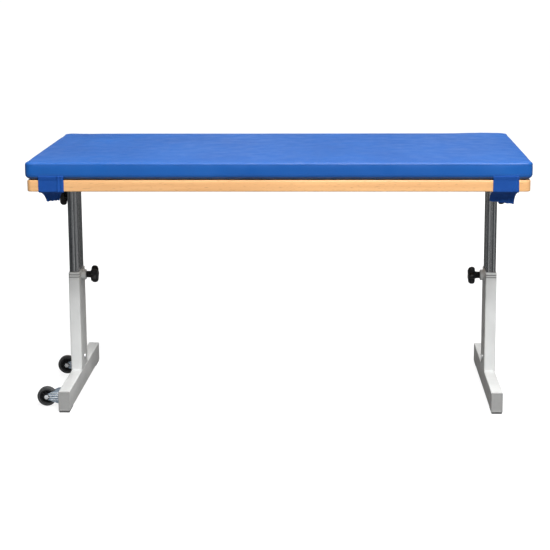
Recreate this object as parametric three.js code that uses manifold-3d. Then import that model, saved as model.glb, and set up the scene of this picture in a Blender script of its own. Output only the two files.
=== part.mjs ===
// A height-adjustable examination table: a wooden board with a strapped-on cushion, carried by two
// telescopic single-column legs on long foot tubes, with star knobs to clamp the columns and two
// transport wheels on the left foot. Millimetres, X along the table, Y from front to back, Z up.
import * as THREE from 'three';
import { mergeVertices } from 'three/addons/utils/BufferGeometryUtils.js';
import Module from 'manifold-3d';

const wasm = await Module();
wasm.setup();

// Fits
const GAP = 0.3; // between parts that touch
const SLIDE_GAP = 0.5; // each side, between a telescopic tube and its guide
const WALL = 2; // of every steel tube

// Lying surface
const CUSHION = { x: 1500, y: 740, z: 55.7, corner: 20, edge: 8 };
const BOARD = { x: 1490, y: 734, z: 34, corner: 14, edge: 2, top: 732 };
const BOARD_BOTTOM = BOARD.top - BOARD.z;
const STRAP = { width: 76, thick: 2, x: 672, under: 26, tail: 34, above: 2.4 };

// Legs
const COLUMN_X = 665; // from the middle of the table to each column
const FOOT = { x: 35, y: 620, z: 62, corner: 3 };
const PAD = { x: 33, y: 70, z: 5 };
const CAP = { plate: 4, insert: 18 };
const FOOT_TOP = PAD.z + FOOT.z;
const OUTER = { x: 35, y: 116, corner: 4, top: 367.7 };
const COLLAR = { z: 21, bottom: 368 };
const INNER = { x: 30, y: 100, corner: 4, bottom: 230 };
const GLIDE = { z: 18, slack: 0.3 };
const PLATE = { x: 110, y: 180, z: 4, corner: 12, screwX: 40, screwY: 75 };
const STUB = { z: 100, slack: 0.4, corner: 2 };
const PLATE_BOTTOM = BOARD_BOTTOM - GAP - PLATE.z;
const SCREW = { head: 5.5, rise: 3 };
const BASE_SCREW = { head: 7, rise: 4, z: 101 };

// Clamp knobs, all turning about X
const KNOB = { radius: 29, lobe: 9, lobes: 5, thick: 22, edge: 3, hub: 11 };
const STUD = { radius: 4, bore: 4.6 };
const HEIGHT_CLAMP = { z: 372, boss: 17, bossLength: 13.2, hub: 16 };
const TOP_CLAMP = { z: 628, boss: 10, bossLength: 5, hub: 2.5 };

// Transport wheels, both turning about Y
const WHEEL = { radius: 30, rim: 22, width: 20, x: -729, z: 34, bore: 4.35 };
const WHEEL_Y = { front: -240, rear: 140 };
const FORK = { thick: 2.5, gap: 22, back: 44, end: 8 };
const AXLE = { radius: 4, head: 7, headLength: 4 };

// The wheels reach past the cushion, so the whole table is moved until its outline is centred.
const CENTRE_SHIFT = (-WHEEL.x + WHEEL.radius - CUSHION.x / 2) / 2;

const paint = () => new THREE.MeshStandardMaterial({ color: 0xd4d6d6, roughness: 0.45, metalness: 0.1 });
const chrome = () => new THREE.MeshStandardMaterial({ color: 0x9a9da0, roughness: 0.18, metalness: 1 });
const zinc = () => new THREE.MeshStandardMaterial({ color: 0xb4bfc9, roughness: 0.3, metalness: 1 });
const greyPlastic = () => new THREE.MeshStandardMaterial({ color: 0xa6a7a8, roughness: 0.55 });
const blackPlastic = () => new THREE.MeshStandardMaterial({ color: 0x141516, roughness: 0.45 });
const rubber = () => new THREE.MeshStandardMaterial({ color: 0x55575a, roughness: 0.8 });
const tyreRubber = () => new THREE.MeshStandardMaterial({ color: 0x85898c, roughness: 0.7 });
const wood = () => new THREE.MeshStandardMaterial({ color: 0xe3a86c, roughness: 0.5 });
const vinyl = () => new THREE.MeshStandardMaterial({ color: 0x2f66bf, roughness: 0.5 });
const webbing = () => new THREE.MeshStandardMaterial({ color: 0x1f4fa8, roughness: 0.8 });

const table = new THREE.Group();
table.position.x = CENTRE_SHIFT;

function add(name, geometry, material, x = 0, y = 0, z = 0) {
  const mesh = new THREE.Mesh(geometry, material);
  mesh.name = name;
  mesh.position.set(x, y, z);
  table.add(mesh);
}

function toSolid(geometry) {
  const bare = geometry.clone();
  bare.deleteAttribute('normal');
  bare.deleteAttribute('uv');
  const merged = mergeVertices(bare, 1e-3);
  return new wasm.Manifold(new wasm.Mesh({
    numProp: 3,
    vertProperties: new Float32Array(merged.attributes.position.array),
    triVerts: new Uint32Array(merged.index.array),
  }));
}

function toGeometry(solid) {
  const result = solid.getMesh();
  const geometry = new THREE.BufferGeometry();
  geometry.setAttribute('position', new THREE.BufferAttribute(result.vertProperties, 3));
  geometry.setIndex(new THREE.BufferAttribute(result.triVerts, 1));
  return geometry;
}

function cut(geometry, ...tools) {
  return toGeometry(tools.reduce((solid, tool) => solid.subtract(toSolid(tool)), toSolid(geometry)));
}

function join(...pieces) {
  return toGeometry(pieces.map(toSolid).reduce((all, piece) => all.add(piece)));
}

// Outlines
function roundedRectangle(width, height, radius, target = new THREE.Shape()) {
  const w = width / 2 - radius;
  const h = height / 2 - radius;
  target.absarc(w, -h, radius, -Math.PI / 2, 0);
  target.absarc(w, h, radius, 0, Math.PI / 2);
  target.absarc(-w, h, radius, Math.PI / 2, Math.PI);
  target.absarc(-w, -h, radius, Math.PI, Math.PI * 1.5);
  return target;
}

function prism(shape, length, curveSegments = 3) {
  return new THREE.ExtrudeGeometry(shape, { depth: length, bevelEnabled: false, curveSegments });
}

// A block standing on Z = 0, with rounded corners in plan and rounded top and bottom edges.
function softBlock({ x, y, z, corner, edge }, bevelSegments = 3, curveSegments = 5) {
  const shape = roundedRectangle(x - 2 * edge, y - 2 * edge, corner - edge);
  const block = new THREE.ExtrudeGeometry(shape, {
    depth: z - 2 * edge,
    bevelSize: edge,
    bevelThickness: edge,
    bevelSegments,
    curveSegments,
  });
  return block.translate(0, 0, edge);
}

// A rectangular tube along Z, from Z = 0 up.
function rectangularTube(x, y, corner, wall, length) {
  const shape = roundedRectangle(x, y, corner);
  const innerCorner = Math.max(corner - wall, 1);
  shape.holes.push(roundedRectangle(x - 2 * wall, y - 2 * wall, innerCorner, new THREE.Path()));
  return prism(shape, length);
}

// A cylinder along X, from X = 0 to X = length.
function rodX(radius, length, segments = 20) {
  const rod = new THREE.CylinderGeometry(radius, radius, length, segments);
  return rod.rotateZ(Math.PI / 2).translate(length / 2, 0, 0);
}

// A star outline: round lobes with hollows between them, the first lobe along Y.
function starShape() {
  const points = [];
  const steps = KNOB.lobes * 8;
  for (let i = 0; i < steps; i += 1) {
    const angle = (i / steps) * Math.PI * 2;
    const wave = (1 + Math.cos(angle * KNOB.lobes)) / 2;
    const radius = KNOB.radius - KNOB.edge - KNOB.lobe * (1 - Math.sqrt(wave));
    points.push(new THREE.Vector2(radius * Math.sin(angle), radius * Math.cos(angle)));
  }
  return new THREE.Shape(points);
}

// A star knob that faces +X: its hub starts at X = 0 and the head ends at hub + thick.
function knobHead(hubLength) {
  const head = new THREE.ExtrudeGeometry(starShape(), {
    depth: KNOB.thick - 2 * KNOB.edge,
    bevelSize: KNOB.edge,
    bevelThickness: KNOB.edge,
    bevelSegments: 2,
  });
  head.translate(0, 0, KNOB.edge).rotateY(Math.PI / 2).translate(hubLength, 0, 0);
  const knob = join(head, rodX(KNOB.hub, hubLength + KNOB.edge, 24));
  const recess = rodX(STUD.radius + GAP, hubLength + KNOB.thick / 2, 16).translate(-1, 0, 0);
  return cut(knob, recess);
}

// A threaded clamp: the boss on a tube's side, the stud through it and the knob on the stud.
// It points along +X from the tube's face, or along -X when direction is -1.
function addClamp(name, clamp, faceX, tipX, direction) {
  const turn = direction > 0 ? 0 : Math.PI;
  const boss = cut(rodX(clamp.boss, clamp.bossLength, 28), rodX(STUD.bore, 40, 16).translate(-20, 0, 0));
  add(`${name}_boss`, boss.rotateZ(turn), paint(), faceX + direction * GAP, 0, clamp.z);
  const knobX = faceX + direction * (clamp.bossLength + 2 * GAP);
  add(`${name}_knob_head`, knobHead(clamp.hub).rotateZ(turn), blackPlastic(), knobX, 0, clamp.z);
  const studEnd = knobX + direction * (clamp.hub + KNOB.thick / 2 - 1 - GAP);
  const stud = rodX(STUD.radius, Math.abs(studEnd - tipX), 16);
  add(`${name}_knob_stud`, stud.rotateZ(turn), zinc(), tipX, 0, clamp.z);
}

// Foot: a rectangular tube along Y with a plug in each end and a rubber pad under each end.
function addFoot(side, x) {
  const length = FOOT.y - 2 * (CAP.plate + GAP);
  const tube = rectangularTube(FOOT.x, FOOT.z, FOOT.corner, WALL, length);
  tube.translate(0, 0, -length / 2).rotateX(Math.PI / 2);
  const middleZ = PAD.z + FOOT.z / 2;
  add(`${side}_foot_tube`, tube, paint(), x, 0, middleZ);
  for (const [end, direction] of [['front', -1], ['rear', 1]]) {
    const inset = 2 * (WALL + GAP);
    const plate = prism(roundedRectangle(FOOT.x, FOOT.z, FOOT.corner), CAP.plate);
    const insert = prism(roundedRectangle(FOOT.x - inset, FOOT.z - inset, 1), CAP.insert + 1);
    const plug = join(plate, insert.translate(0, 0, CAP.plate - 1));
    plug.rotateX(direction > 0 ? Math.PI / 2 : -Math.PI / 2);
    add(`${side}_foot_cap_${end}`, plug, greyPlastic(), x, direction * FOOT.y / 2, middleZ);
    const pad = softBlock({ ...PAD, z: PAD.z - GAP, corner: 4, edge: 1 }, 1, 3);
    const padY = direction * (FOOT.y - PAD.y) / 2;
    add(`${side}_foot_pad_${end}`, pad, rubber(), x, padY, 0);
  }
}

// Outer tube welded on the foot, with the guide collar and the height clamp at its top.
function addOuterColumn(side, x, inward) {
  const length = OUTER.top - FOOT_TOP - GAP;
  const tube = rectangularTube(OUTER.x, OUTER.y, OUTER.corner, WALL, length);
  add(`${side}_outer_tube`, tube, paint(), x, 0, FOOT_TOP + GAP);
  const collarShape = roundedRectangle(OUTER.x, OUTER.y, OUTER.corner);
  const passX = INNER.x + 2 * SLIDE_GAP;
  const passY = INNER.y + 2 * SLIDE_GAP;
  collarShape.holes.push(roundedRectangle(passX, passY, INNER.corner, new THREE.Path()));
  const hole = rodX(STUD.bore, OUTER.x, 16).rotateZ(inward > 0 ? 0 : Math.PI);
  hole.translate(0, 0, HEIGHT_CLAMP.z - COLLAR.bottom);
  add(`${side}_guide_collar`, cut(prism(collarShape, COLLAR.z), hole), paint(), x, 0, COLLAR.bottom);
  const faceX = x + inward * OUTER.x / 2;
  const tipX = x + inward * (INNER.x / 2 + GAP);
  addClamp(`${side}_height`, HEIGHT_CLAMP, faceX, tipX, inward);
  const screw = rodX(BASE_SCREW.head, BASE_SCREW.rise, 20).rotateZ(inward > 0 ? 0 : Math.PI);
  add(`${side}_base_screw`, screw, zinc(), faceX + inward * GAP, 0, BASE_SCREW.z);
}

// Sliding inner tube with its glide block below and the knob that holds the table top's stub.
function addInnerColumn(side, x, outward) {
  const length = PLATE_BOTTOM - SLIDE_GAP - INNER.bottom;
  const tube = rectangularTube(INNER.x, INNER.y, INNER.corner, WALL, length);
  const hole = rodX(STUD.bore, INNER.x, 16).rotateZ(outward > 0 ? 0 : Math.PI);
  hole.translate(0, 0, TOP_CLAMP.z - INNER.bottom);
  add(`${side}_inner_tube`, cut(tube, hole), chrome(), x, 0, INNER.bottom);
  const glideX = OUTER.x - 2 * (WALL + GLIDE.slack);
  const glideY = OUTER.y - 2 * (WALL + GLIDE.slack);
  const glide = prism(roundedRectangle(glideX, glideY, 2), GLIDE.z - GAP);
  add(`${side}_glide`, glide, blackPlastic(), x, 0, INNER.bottom - GLIDE.z);
  const faceX = x + outward * INNER.x / 2;
  const tipX = x + outward * (INNER.x / 2 - WALL - STUB.slack + GAP);
  addClamp(`${side}_top`, TOP_CLAMP, faceX, tipX, outward);
}

// Plate screwed under the board, with the stub that plugs into the inner tube.
function addTopMount(side, x) {
  const plate = prism(roundedRectangle(PLATE.x, PLATE.y, PLATE.corner), PLATE.z);
  add(`${side}_mount_plate`, plate, paint(), x, 0, PLATE_BOTTOM);
  const stubX = INNER.x - 2 * (WALL + STUB.slack);
  const stubY = INNER.y - 2 * (WALL + STUB.slack);
  const stub = rectangularTube(stubX, stubY, STUB.corner, WALL, STUB.z);
  add(`${side}_stub`, stub, zinc(), x, 0, PLATE_BOTTOM - GAP - STUB.z);
  for (const [row, sx, sy] of [['a', -1, -1], ['b', 1, -1], ['c', -1, 1], ['d', 1, 1]]) {
    const screw = new THREE.LatheGeometry(screwProfile(), 14).rotateX(Math.PI / 2);
    const screwX = x + sx * PLATE.screwX;
    add(`${side}_plate_screw_${row}`, screw, zinc(), screwX, sy * PLATE.screwY, PLATE_BOTTOM - GAP);
  }
}

// Half section of a pan-head screw that hangs below Z = 0.
function screwProfile() {
  const { head, rise } = SCREW;
  return [[0, -rise], [head * 0.6, -rise], [head, -rise * 0.5], [head, 0], [0, 0]]
    .map(([radius, height]) => new THREE.Vector2(radius, height));
}

// Wheel: a plastic hub with a rubber tyre, turning on a bolt through a forked bracket.
function addWheel(name, y) {
  const half = WHEEL.width / 2;
  const tyreProfile = [
    [WHEEL.rim + GAP, -half], [WHEEL.radius - 4, -half], [WHEEL.radius - 1, -half + 3],
    [WHEEL.radius, 0], [WHEEL.radius - 1, half - 3], [WHEEL.radius - 4, half],
    [WHEEL.rim + GAP, half], [WHEEL.rim + GAP, -half],
  ].map(([radius, height]) => new THREE.Vector2(radius, height));
  add(`${name}_wheel_tyre`, new THREE.LatheGeometry(tyreProfile, 36), tyreRubber(), WHEEL.x, y, WHEEL.z);
  const hubProfile = [
    [WHEEL.bore, -half], [9, -half], [10, -4], [17, -4], [18, -half], [WHEEL.rim, -half],
    [WHEEL.rim, half], [18, half], [17, 4], [10, 4], [9, half], [WHEEL.bore, half],
    [WHEEL.bore, -half],
  ].map(([radius, height]) => new THREE.Vector2(radius, height));
  add(`${name}_wheel_hub`, new THREE.LatheGeometry(hubProfile, 26), blackPlastic(), WHEEL.x, y, WHEEL.z);
  add(`${name}_wheel_fork`, forkGeometry(), zinc(), WHEEL.x, y, WHEEL.z);
  add(`${name}_wheel_axle`, axleGeometry(), zinc(), WHEEL.x, y, WHEEL.z);
}

// The fork's two arms reach from a back plate on the foot's side out to the axle at X = 0, Z = 0.
function forkGeometry() {
  const backX = -COLUMN_X - FOOT.x / 2 - GAP - WHEEL.x;
  const backZ = PAD.z + FOOT.z / 2 - WHEEL.z;
  const arm = new THREE.Shape();
  arm.absarc(0, 0, FORK.end, Math.PI / 2, Math.PI * 1.5);
  arm.lineTo(backX - 12, backZ - FORK.back / 2);
  arm.lineTo(backX, backZ - FORK.back / 2);
  arm.lineTo(backX, backZ + FORK.back / 2);
  arm.lineTo(backX - 12, backZ + FORK.back / 2);
  const width = FORK.gap + 2 * FORK.thick;
  const block = prism(arm, width, 12).rotateX(Math.PI / 2).translate(0, width / 2, 0);
  const room = new THREE.BoxGeometry(200, FORK.gap, 100).translate(backX - FORK.thick - 100, 0, 0);
  const bore = new THREE.CylinderGeometry(WHEEL.bore, WHEEL.bore, width + 2, 16);
  return cut(block, room, bore);
}

// Bolt with its head at the front and its nut at the back, along Y.
function axleGeometry() {
  const end = FORK.gap / 2 + FORK.thick + GAP;
  const profile = [
    [0, -end - AXLE.headLength], [AXLE.head - 1, -end - AXLE.headLength], [AXLE.head, -end - AXLE.headLength + 1],
    [AXLE.head, -end], [AXLE.radius, -end], [AXLE.radius, end],
    [AXLE.head, end], [AXLE.head, end + AXLE.headLength], [0, end + AXLE.headLength],
  ].map(([radius, height]) => new THREE.Vector2(radius, height));
  return new THREE.LatheGeometry(profile, 18);
}

// Board and cushion
function addTop() {
  add('board', softBlock(BOARD, 1, 4), wood(), 0, 0, BOARD_BOTTOM);
  add('cushion', softBlock(CUSHION), vinyl(), 0, 0, BOARD.top + GAP);
}

// A fabric strap: from the cushion's lower edge down the board's edge, under it and hanging free.
// The route runs in the YZ plane and is mirrored for the rear edge of the board.
function strapGeometry(facing) {
  const { thick, under, tail } = STRAP;
  const near = BOARD.y / 2 + GAP;
  const far = near + thick;
  const high = BOARD.top + STRAP.above;
  const low = BOARD_BOTTOM - GAP;
  const bottom = BOARD_BOTTOM - tail;
  const outer = [
    [near, high], [far, high], [far, low], [near, low - thick],
    [near - under + thick, low - thick], [near - under + thick, bottom],
  ];
  const inner = [[near - under, bottom], [near - under, low], [near, low]];
  const points = [...outer, ...inner].map(([y, z]) => new THREE.Vector2(facing * y, z));
  const ribbon = prism(new THREE.Shape(points), STRAP.width);
  // The shape's axes are Y and Z, so its extrusion axis is turned onto X.
  const turn = new THREE.Matrix4().makeBasis(
    new THREE.Vector3(0, 1, 0), new THREE.Vector3(0, 0, 1), new THREE.Vector3(1, 0, 0),
  );
  return ribbon.applyMatrix4(turn).translate(-STRAP.width / 2, 0, 0);
}

for (const [side, sign] of [['left', -1], ['right', 1]]) {
  const x = sign * COLUMN_X;
  addFoot(side, x);
  addOuterColumn(side, x, -sign);
  addInnerColumn(side, x, sign);
  addTopMount(side, x);
  add(`${side}_strap_front`, strapGeometry(-1), webbing(), sign * STRAP.x);
  add(`${side}_strap_rear`, strapGeometry(1), webbing(), sign * STRAP.x);
}
addTop();
for (const [name, y] of Object.entries(WHEEL_Y)) {
  addWheel(name, y);
}

export default table;
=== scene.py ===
"""Looks of a height-adjustable examination table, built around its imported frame.

Lengths are in metres. X runs along the table, Y from front to back and Z up.
"""

import math

import bmesh
import bpy
from mathutils import Matrix, Vector, noise
from mathutils.bvhtree import BVHTree


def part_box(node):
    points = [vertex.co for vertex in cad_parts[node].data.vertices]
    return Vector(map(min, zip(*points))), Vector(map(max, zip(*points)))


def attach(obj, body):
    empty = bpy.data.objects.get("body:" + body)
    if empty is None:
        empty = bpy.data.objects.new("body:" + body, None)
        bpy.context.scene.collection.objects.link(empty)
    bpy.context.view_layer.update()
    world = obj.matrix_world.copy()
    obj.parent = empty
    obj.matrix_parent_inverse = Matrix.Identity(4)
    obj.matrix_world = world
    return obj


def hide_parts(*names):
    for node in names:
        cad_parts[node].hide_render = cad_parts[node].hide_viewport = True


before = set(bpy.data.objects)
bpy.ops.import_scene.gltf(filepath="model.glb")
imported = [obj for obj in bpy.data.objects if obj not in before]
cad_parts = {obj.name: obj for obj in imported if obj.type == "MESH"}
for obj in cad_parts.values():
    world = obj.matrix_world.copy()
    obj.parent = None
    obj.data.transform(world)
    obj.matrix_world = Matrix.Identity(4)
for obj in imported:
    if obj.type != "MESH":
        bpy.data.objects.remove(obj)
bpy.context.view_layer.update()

MM = 0.001
HERE = (0, 0, 0)  # the place of a shape that is built where it belongs
SIDES = {"left": -1, "right": 1}
ENDS = {"front": -1, "rear": 1}
ROUND = 64  # steps round a small turned part
HEXAGON_POINTS = 48
SKY = (0.05, 0.27)  # brightness of the soft light, from the left and from the right


# ---- places from the frame

def low(node):
    return Vector(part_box(node)[0])


def high(node):
    return Vector(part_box(node)[1])


def middle(node):
    return (low(node) + high(node)) / 2


def size(node):
    return high(node) - low(node)


# ---- materials


class Nodes:
    """Short ways to add nodes to a shader tree."""

    def __init__(self, tree):
        self.tree = tree

    def node(self, kind, **values):
        made = self.tree.nodes.new(kind)
        for key, value in values.items():
            setattr(made, key, value)
        return made

    def join(self, value, socket):
        if isinstance(value, bpy.types.NodeSocket):
            self.tree.links.new(value, socket)
        else:
            socket.default_value = value

    def spread(self, value, from_low, from_high, to_low, to_high):
        made = self.node("ShaderNodeMapRange")
        self.join(value, made.inputs["Value"])
        for socket, number in zip(
            ("From Min", "From Max", "To Min", "To Max"), (from_low, from_high, to_low, to_high)
        ):
            made.inputs[socket].default_value = number
        return made.outputs["Result"]

    def seen_by(self, ray, usual, mirrored):
        """Mixes two shaders: the usual one, and the one that a kind of ray sees."""
        mix = self.node("ShaderNodeMixShader")
        path = self.node("ShaderNodeLightPath")
        for i, value in enumerate((path.outputs[ray], usual, mirrored)):
            self.join(value, mix.inputs[i])
        return mix.outputs[0]


class Surface(Nodes):
    """A material in the making: a Principled shader, with short ways to add texture nodes."""

    def __init__(self, name, slot, colour, roughness, metallic=0.0, **sockets):
        self.material = bpy.data.materials.new(name)
        self.material.use_nodes = True
        super().__init__(self.material.node_tree)
        self.shader = self.tree.nodes["Principled BSDF"]
        self.shader.inputs["Base Color"].default_value = (*colour, 1)
        self.shader.inputs["Roughness"].default_value = roughness
        self.shader.inputs["Metallic"].default_value = metallic
        for socket, value in sockets.items():
            self.shader.inputs[socket.replace("_", " ")].default_value = value
        self.place = self.node("ShaderNodeTexCoord").outputs["Object"]
        self.normal = None

    def scaled(self, stretch, place=None):
        mapping = self.node("ShaderNodeMapping")
        mapping.inputs["Scale"].default_value = stretch
        self.join(place or self.place, mapping.inputs["Vector"])
        return mapping.outputs["Vector"]

    def texture(self, kind, inputs, stretch=(1, 1, 1), place=None, **values):
        made = self.node("ShaderNodeTex" + kind, **values)
        for socket, number in inputs.items():
            made.inputs[socket].default_value = number
        self.join(self.scaled(stretch, place), made.inputs["Vector"])
        return made.outputs

    def noise(self, scale, detail=2.0, stretch=(1, 1, 1), rough=0.5):
        inputs = {"Scale": scale, "Detail": detail, "Roughness": rough}
        return self.texture("Noise", inputs, stretch)["Fac"]

    def cells(self, scale, feature="F1"):
        return self.texture("Voronoi", {"Scale": scale}, feature=feature)["Distance"]

    def waves(self, scale, direction, stretch=(1, 1, 1), distortion=0.0, place=None):
        inputs = {"Scale": scale, "Distortion": distortion, "Detail": 2.0}
        return self.texture("Wave", inputs, stretch, place, bands_direction=direction)["Fac"]

    def product(self, a, b):
        made = self.node("ShaderNodeMath", operation="MULTIPLY")
        self.join(a, made.inputs[0])
        self.join(b, made.inputs[1])
        return made.outputs["Value"]

    def blend(self, share, a, b):
        made = self.node("ShaderNodeMix", data_type="RGBA")
        self.join(share, made.inputs["Factor"])
        for value, index in ((a, 6), (b, 7)):
            self.join((*value, 1) if isinstance(value, tuple) else value, made.inputs[index])
        return made.outputs[2]

    def colour(self, share, a, b):
        self.join(self.blend(share, a, b), self.shader.inputs["Base Color"])

    def roughness(self, value, least, most, start=0.3, end=0.7):
        self.join(self.spread(value, start, end, least, most), self.shader.inputs["Roughness"])

    def bump(self, height, depth, strength=1.0):
        made = self.node("ShaderNodeBump")
        made.inputs["Strength"].default_value = strength
        made.inputs["Distance"].default_value = depth
        self.join(height, made.inputs["Height"])
        if self.normal is not None:
            self.join(self.normal, made.inputs["Normal"])
        self.normal = made.outputs["Normal"]
        self.join(self.normal, self.shader.inputs["Normal"])


def paint_surface():
    """Light grey powder coat: fine orange peel, faint rubbed patches."""
    s = Surface("powder_coat", "paint", (0.65, 0.66, 0.655), 0.4, Coat_Weight=0.1)
    patches = s.noise(14, 5)
    s.colour(s.spread(patches, 0.3, 0.75, 0, 1), (0.69, 0.70, 0.695), (0.61, 0.62, 0.615))
    s.roughness(s.noise(60, 4), 0.32, 0.5)
    s.bump(s.noise(700, 2), 0.00012, 0.35)
    return s.material


def chrome_surface():
    """Chromed drawn tube: long drawing marks, waves that break reflections into stripes, and dark and
    bright stripes of painted reflection in its colour.
    """
    s = Surface("chrome", "chrome", (0.42, 0.43, 0.44), 0.1, 1.0)
    # painted reflection: vertical dark and bright stripes in the colour stand for the room mirrored in the
    # chrome
    bands = s.noise(130, 1, (1, 1, 0.002))
    painted_reflection_tone = s.blend(s.spread(bands, 0.40, 0.60, 0, 1), (0.09, 0.095, 0.10), (0.46, 0.465, 0.47))
    s.colour(s.spread(s.noise(7, 3), 0.35, 0.7, 0, 0.3), painted_reflection_tone, (0.36, 0.38, 0.40))
    marks = s.noise(300, 2, (1, 1, 0.004))
    s.roughness(marks, 0.08, 0.2)
    s.bump(s.noise(110, 1, (1, 1, 0.002)), 0.004, 0.6)
    s.bump(marks, 0.0001, 0.2)
    return s.material


def mottled(name, slot, colour, roughness, metallic, tones, gloss, grain, **sockets):
    """A surface of two mixed tones, with an uneven gloss and a fine grain."""
    s = Surface(name, slot, colour, roughness, metallic, **sockets)
    scale, detail, one, other = tones
    s.colour(s.noise(scale, detail), one, other)
    if gloss:
        scale, detail, least, most = gloss
        s.roughness(s.noise(scale, detail), least, most)
    pattern, depth, strength = grain
    s.bump(s.cells(pattern) if isinstance(pattern, int) else s.noise(*pattern), depth, strength)
    return s.material


def black_plastic_surface():
    """Black moulded plastic with a spark-eroded grain, greyer where hands rub it."""
    s = Surface("black_plastic", "black_plastic", (0.008, 0.008, 0.009), 0.42, Specular_IOR_Level=0.35)
    rubbed = s.spread(s.noise(55, 4), 0.45, 0.8, 0, 1)
    s.colour(rubbed, (0.005, 0.005, 0.006), (0.020, 0.020, 0.022))
    s.roughness(s.noise(130, 3), 0.32, 0.55)
    s.bump(s.cells(1700), 0.00012, 0.45)
    return s.material


def tyre_surface():
    """Dark grey rubber, dusty and scuffed on the tread."""
    s = Surface("tyre_rubber", "tyre", (0.08, 0.08, 0.082), 0.62)
    scuffs = s.spread(s.noise(120, 5, (1, 0.3, 1)), 0.5, 0.75, 0, 1)
    s.colour(scuffs, (0.035, 0.036, 0.038), (0.09, 0.09, 0.088))
    s.roughness(scuffs, 0.5, 0.78, 0, 1)
    s.bump(s.noise(900, 3), 0.00015, 0.5)
    return s.material


def wood_surface(name, light, dark, along=(0.06, 1, 1)):
    """Lacquered beech: long figure, short dark flecks and fine pores along the grain."""
    s = Surface(name, "wood", light, 0.38, Coat_Weight=0.25, Coat_Roughness=0.25)
    figure = s.noise(38, 5, along, 0.6)
    rings = s.waves(9, "Z", along, 6.0)
    base = s.blend(s.spread(figure, 0.3, 0.72, 0, 1), light, dark)
    base = s.blend(s.spread(rings, 0.55, 1.0, 0, 0.35), base, tuple(c * 0.86 for c in dark))
    flecks = s.spread(s.noise(420, 1, (along[0] * 2.2, along[1], along[2])), 0.62, 0.72, 0, 0.55)
    s.colour(flecks, base, tuple(c * 0.6 for c in dark))
    s.roughness(figure, 0.3, 0.46)
    s.bump(flecks, 0.00008, 0.4)
    return s.material


def vinyl_surface():
    """Blue artificial leather: fine pebble grain, faint creases, slight fading on the flats."""
    s = Surface("artificial_leather", "cushion_cover", (0.005, 0.082, 0.33), 0.45, Specular_IOR_Level=0.36)
    shade = s.spread(s.noise(5, 3), 0.3, 0.7, 0, 1)
    s.colour(shade, (0.004, 0.074, 0.305), (0.006, 0.090, 0.350))
    pebbles = s.cells(620, "SMOOTH_F1")
    s.roughness(s.noise(22, 4), 0.36, 0.52)
    s.bump(s.noise(26, 3), 0.0008, 0.25)
    s.bump(pebbles, 0.00035, 0.55)
    return s.material


def webbing_surface():
    """Blue woven strap: ribs across it, crossed by finer threads along it."""
    s = Surface("strap_weave", "strap", (0.008, 0.075, 0.36), 0.7, Specular_IOR_Level=0.3)
    cloth = s.node("ShaderNodeTexCoord").outputs["UV"]
    ribs = s.waves(260, "Y", place=cloth)
    threads = s.waves(420, "X", place=cloth)
    weave = s.product(ribs, threads)
    base = s.blend(s.noise(30, 4), (0.002, 0.062, 0.32), (0.005, 0.095, 0.43))
    s.colour(s.spread(weave, 0, 0.5, 0.4, 0), base, (0.003, 0.022, 0.14))
    s.bump(weave, 0.0005, 0.8)
    return s.material


def thread_surface():
    s = Surface("thread", "strap", (0.02, 0.09, 0.36), 0.6)
    s.colour(s.noise(400, 2), (0.010, 0.065, 0.27), (0.030, 0.12, 0.44))
    s.bump(s.waves(900, "DIAGONAL"), 0.0002, 0.6)
    return s.material


PAINT = paint_surface()
CHROME = chrome_surface()
ZINC = mottled(
    "zinc_plate", "zinc", (0.55, 0.60, 0.66), 0.3, 0.75,
    (90, 4, (0.27, 0.36, 0.46), (0.54, 0.63, 0.72)), (90, 4, 0.2, 0.42), ((900, 2), 0.00005, 0.4),
)
STEEL = mottled(
    "bright_steel", "zinc", (0.80, 0.82, 0.84), 0.25, 0.5,
    (160, 3, (0.68, 0.70, 0.73), (0.90, 0.91, 0.92)), (500, 2, 0.2, 0.36), ((1500, 2), 0.00006, 0.5),
)
GREY_PLASTIC = mottled(
    "grey_plastic", "grey_plastic", (0.36, 0.36, 0.355), 0.5, 0,
    (40, 4, (0.29, 0.29, 0.285), (0.37, 0.37, 0.365)), (220, 3, 0.42, 0.62), (2600, 0.00006, 0.4),
)
# dark grey plastic, used only for the painted shade in the collar's grooves
DARK_PLASTIC = mottled(
    "dark_grey_plastic", "grey_plastic", (0.12, 0.12, 0.12), 0.55, 0,
    (60, 3, (0.09, 0.09, 0.09), (0.16, 0.16, 0.16)), None, (2200, 0.00006, 0.4),
)
BLACK_PLASTIC = black_plastic_surface()
PAD_RUBBER = mottled(
    "pad_rubber", "pad_rubber", (0.06, 0.06, 0.062), 0.8, 0,
    (80, 5, (0.045, 0.045, 0.047), (0.10, 0.10, 0.10)), (150, 3, 0.68, 0.9), ((1200, 3), 0.0002, 0.5),
)
TYRE_RUBBER = tyre_surface()
LIPPING = wood_surface("beech_lipping", (0.82, 0.475, 0.215), (0.68, 0.36, 0.15))
PANEL = wood_surface("beech_panel", (0.74, 0.47, 0.25), (0.60, 0.35, 0.16), (0.05, 0.8, 1))
VINYL = vinyl_surface()
WEBBING = webbing_surface()
THREAD = thread_surface()
GAP_SHADE_SHEET = mottled(  # dark blue sheet under the cushion's edge: painted shade for the dark gap between the cushion and the board
    "gap_shade_sheet", "cushion_cover", (0.006, 0.010, 0.05), 0.9, 0,
    (300, 3, (0.004, 0.007, 0.04), (0.010, 0.016, 0.07)), None, (900, 0.0003, 0.6),
    Specular_IOR_Level=0.2,
)


# ---- mesh building

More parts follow.
